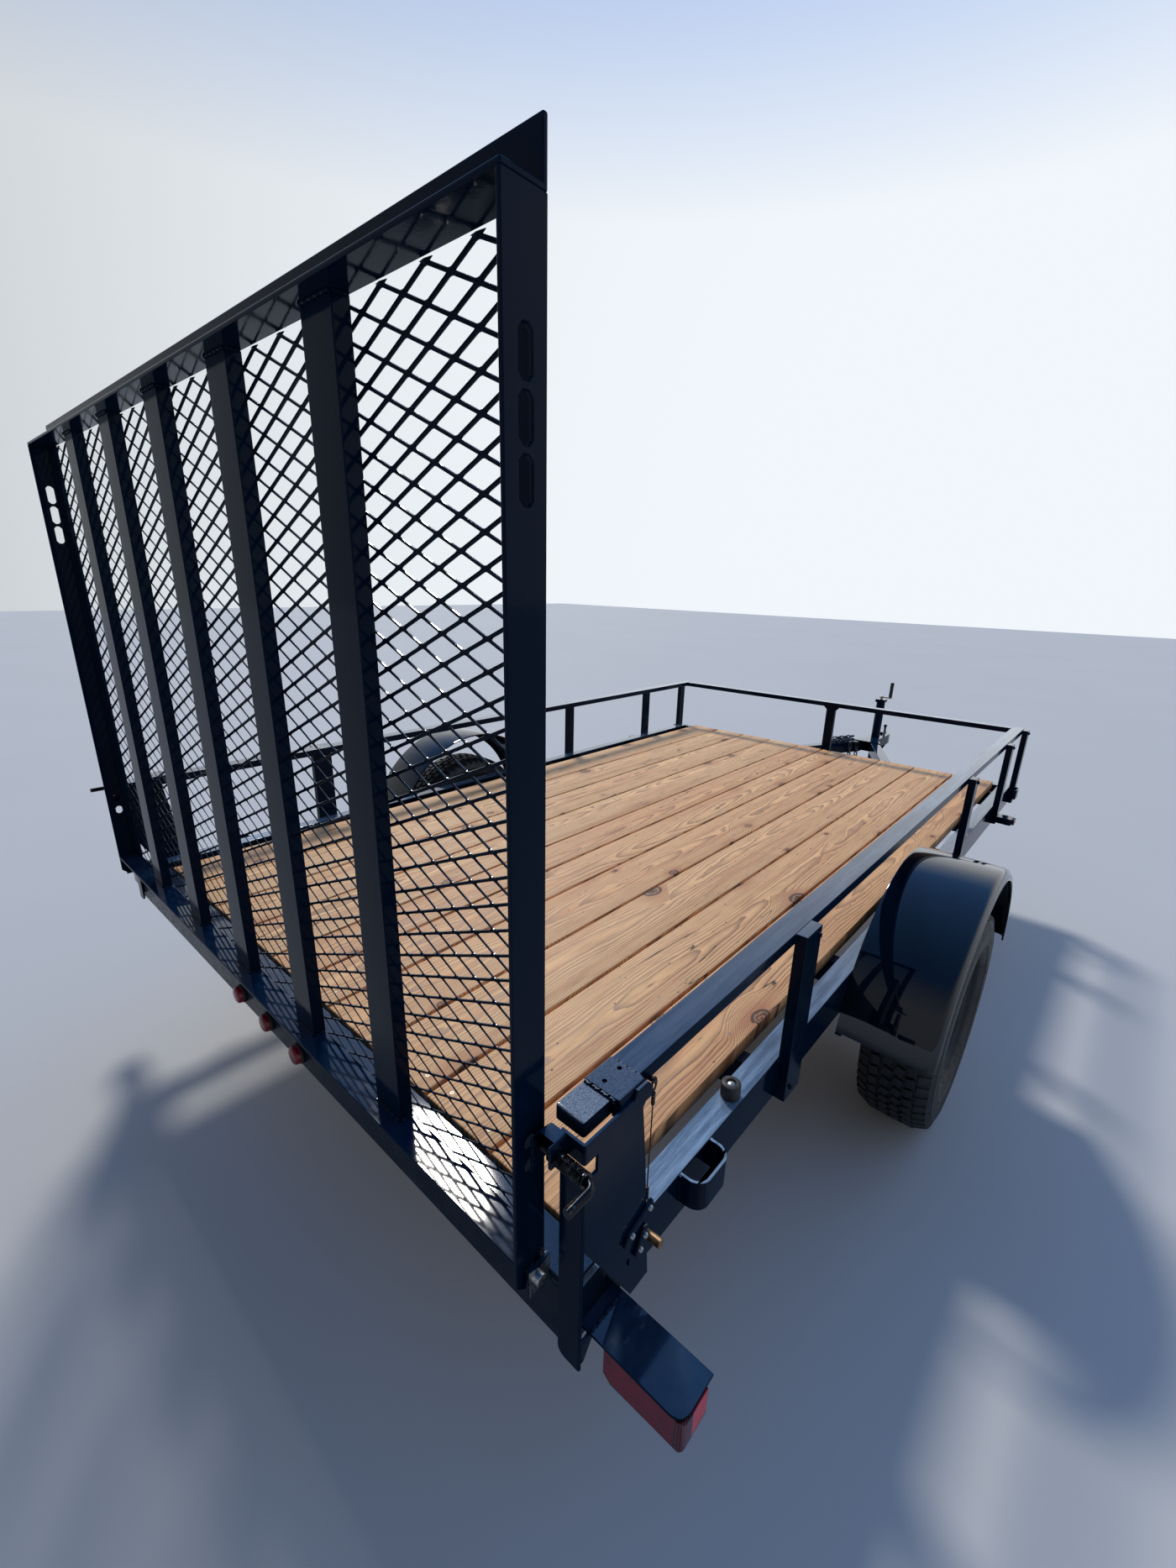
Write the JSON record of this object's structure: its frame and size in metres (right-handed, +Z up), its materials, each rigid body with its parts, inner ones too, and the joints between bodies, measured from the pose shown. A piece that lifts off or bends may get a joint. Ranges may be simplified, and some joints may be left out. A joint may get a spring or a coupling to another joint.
{
  "type": "utility trailer",
  "caption": "Single-axle utility trailer with a plank deck, low side rails, round fenders, an A-frame tongue with a jack, and a tall mesh ramp gate that folds down at the rear.",
  "frame": {"origin": "on the ground under the middle of the whole trailer", "axes": "+X to the right seen from behind, +Y forward towards the tow vehicle, +Z up"},
  "size_m": [2.532, 4.752, 1.942],
  "materials": {
    "black_paint": "glossy black paint with a slight orange-peel",
    "deck_wood": "weathered pressure-treated softwood planks",
    "zinc_plate": "bright zinc plating",
    "tyre_rubber": "matt black tyre rubber",
    "wheel_paint": "silver wheel paint",
    "red_lens": "glossy red lens",
    "amber_lens": "glossy amber lens",
    "black_plastic": "black moulded lamp back",
    "soft_rubber": "black rubber"
  },
  "bodies": {
    "frame": {"side_members": "black_paint", "front_member": "black_paint", "rear_member": "black_paint", "floor_cross_members": "black_paint", "deck_boards": "deck_wood", "top_side_rails": "black_paint", "top_front_rail": "black_paint", "side_posts": "black_paint", "rear_posts": "black_paint", "front_post": "black_paint", "corner_plates": "black_paint", "rail_end_caps": "black_paint", "gate_hinges": "zinc_plate", "latch_brackets": "black_paint", "latch_pins": "zinc_plate", "axle_beam": "black_paint", "leaf_springs": "black_paint", "spring_seats": "black_paint", "spring_hangers": "black_paint", "fenders": "black_paint", "fender_brackets": "black_paint", "tongue_members": "black_paint", "coupler": "black_paint", "coupler_lever": "black_paint", "safety_chains": "zinc_plate", "jack_tube": "black_paint", "jack_head": "black_paint", "jack_crank": "zinc_plate", "crank_grip": "soft_rubber", "lift_wires": "zinc_plate", "lift_links": "black_paint", "lift_pins": "zinc_plate", "lamp_shelves": "black_paint", "tail_lamps": "red_lens", "lamp_housings": "black_plastic", "rear_marker_lamps": "red_lens", "marker_brackets": "black_paint", "side_marker_lamps": "amber_lens", "stake_pockets": "black_paint", "rubber_bumpers": "soft_rubber"},
    "gate": {"gate_side_bars": "black_paint", "gate_inner_bars": "black_paint", "gate_top_bar": "black_paint", "gate_bottom_bar": "black_paint", "gate_mesh_rising": "black_paint", "gate_mesh_falling": "black_paint"},
    "wheel_right": {"tyre_right": "tyre_rubber", "rim_right": "wheel_paint", "hub_right": "zinc_plate"},
    "wheel_left": {"tyre_left": "tyre_rubber", "rim_left": "wheel_paint", "hub_left": "zinc_plate"},
    "jack_foot": {"jack_leg": "zinc_plate"}
  },
  "joints": [
    {"name": "gate_hinge", "type": "hinge", "parent": "frame", "child": "gate", "pos_m": [0, -2.331, 0.639], "axis": [1, 0, 0], "range_deg": [0, 119]},
    {"name": "wheel_right_spin", "type": "hinge", "parent": "frame", "child": "wheel_right", "pos_m": [1.155, -0.826, 0.3445], "axis": [1, 0, 0], "continuous": true},
    {"name": "wheel_left_spin", "type": "hinge", "parent": "frame", "child": "wheel_left", "pos_m": [-1.155, -0.826, 0.3445], "axis": [1, 0, 0], "continuous": true},
    {"name": "jack_slide", "type": "slide", "parent": "frame", "child": "jack_foot", "axis": [0, 0, 1], "range_m": [0, 0.2]}
  ]
}
